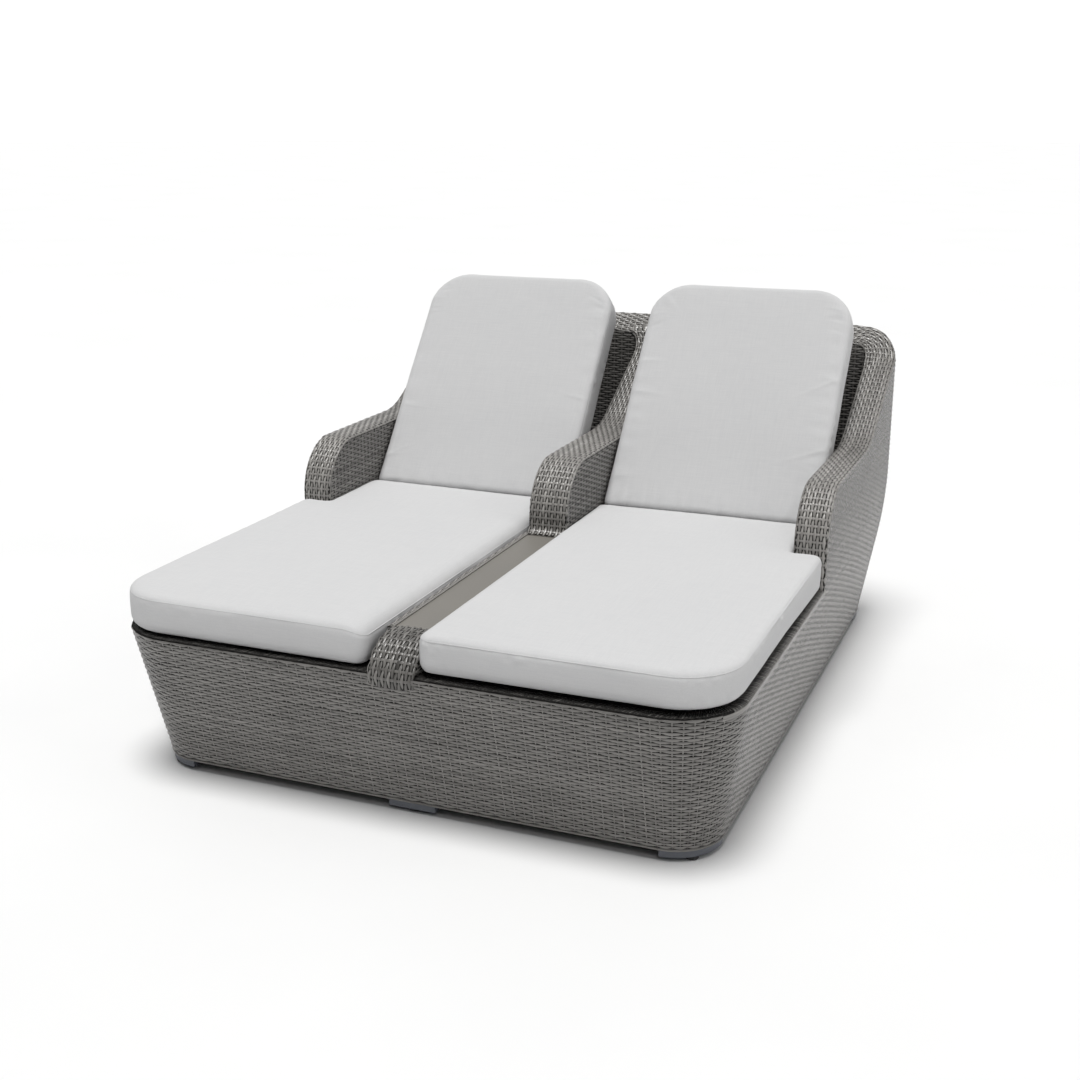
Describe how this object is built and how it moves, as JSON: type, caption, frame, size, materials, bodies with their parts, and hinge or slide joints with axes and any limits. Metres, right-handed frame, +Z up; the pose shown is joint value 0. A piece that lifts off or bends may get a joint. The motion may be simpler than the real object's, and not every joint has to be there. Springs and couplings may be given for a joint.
{
  "type": "double chaise lounger",
  "caption": "Outdoor double chaise lounger in woven strand, with a console tray between the seats, raised arms and shell, box cushions and propped reclining backrests.",
  "frame": {"origin": "on the floor below the middle of the whole object", "axes": "+Z up; +Y from the foot end to the back; +X to the right of someone facing the foot end"},
  "size_m": [1.55, 1.984, 1.0567],
  "materials": {
    "woven_strand": "warm grey flat woven strand, satin",
    "tray_paint": "matt taupe powder coat",
    "frame_paint": "matt grey powder coat",
    "foot_paint": "matt slate grey powder coat",
    "glide_plastic": "black moulded plastic",
    "cushion_fabric": "light grey slubbed outdoor fabric",
    "prop_steel": "plain satin steel"
  },
  "bodies": {
    "base": {"front_woven_panel": "woven_strand", "right_side_woven_panel": "woven_strand", "left_side_woven_panel": "woven_strand", "rear_woven_panel": "woven_strand", "right_arm_woven_band": "woven_strand", "left_arm_woven_band": "woven_strand", "shell_top_woven_band": "woven_strand", "middle_arm_woven_cover": "woven_strand", "right_arm_inner_woven_panel": "woven_strand", "left_arm_inner_woven_panel": "woven_strand", "right_inner_back_woven_panel": "woven_strand", "left_inner_back_woven_panel": "woven_strand", "right_seat_deck": "woven_strand", "left_seat_deck": "woven_strand", "console_woven_wrap": "woven_strand", "console_tray": "tray_paint", "base_front_rail": "frame_paint", "base_rear_rail": "frame_paint", "base_right_rail": "frame_paint", "base_left_rail": "frame_paint", "base_right_corner_bend": "frame_paint", "base_left_corner_bend": "frame_paint", "rim_front_rail": "frame_paint", "rim_rear_rail": "frame_paint", "rim_right_rail": "frame_paint", "rim_left_rail": "frame_paint", "rim_right_corner_bend": "frame_paint", "rim_left_corner_bend": "frame_paint", "front_uprights": "frame_paint", "side_uprights": "frame_paint", "rear_uprights": "frame_paint", "seat_cross_rail": "frame_paint", "hinge_cross_rail": "frame_paint", "right_arm_frame": "frame_paint", "middle_arm_frame": "frame_paint", "left_arm_frame": "frame_paint", "shell_top_frame": "frame_paint", "console_channel": "frame_paint", "hinge_brackets": "frame_paint", "corner_foot_plates": "foot_paint", "middle_foot_plates": "foot_paint", "floor_glides": "glide_plastic", "right_seat_cushion": "cushion_fabric", "left_seat_cushion": "cushion_fabric", "hinge_pins": "prop_steel", "right_inner_notched_rail": "prop_steel", "right_outer_notched_rail": "prop_steel", "left_inner_notched_rail": "prop_steel", "left_outer_notched_rail": "prop_steel"},
    "right_backrest": {"right_backrest_frame": "frame_paint", "right_backrest_woven_panel": "woven_strand", "right_back_cushion": "cushion_fabric"},
    "left_backrest": {"left_backrest_frame": "frame_paint", "left_backrest_woven_panel": "woven_strand", "left_back_cushion": "cushion_fabric"},
    "right_prop": {"right_prop_bar": "prop_steel"},
    "left_prop": {"left_prop_bar": "prop_steel"}
  },
  "joints": [
    {"name": "right_backrest_recline", "type": "hinge", "parent": "base", "child": "right_backrest", "pos_m": [0.373, 0.309, 0.363], "axis": [-1, 0, 0], "range_deg": [0, 12]},
    {"name": "right_prop_fold", "type": "hinge", "parent": "right_backrest", "child": "right_prop", "pos_m": [0.373, 0.50348, 0.59142], "axis": [-1, 0, 0], "range_deg": [-24, 0]},
    {"name": "left_backrest_recline", "type": "hinge", "parent": "base", "child": "left_backrest", "pos_m": [-0.373, 0.309, 0.363], "axis": [-1, 0, 0], "range_deg": [0, 12]},
    {"name": "left_prop_fold", "type": "hinge", "parent": "left_backrest", "child": "left_prop", "pos_m": [-0.373, 0.50348, 0.59142], "axis": [-1, 0, 0], "range_deg": [-24, 0]}
  ],
  "couplings": [
    {"joint": "right_prop_fold", "follows": "right_backrest_recline", "ratio": -2},
    {"joint": "left_prop_fold", "follows": "left_backrest_recline", "ratio": -2}
  ]
}
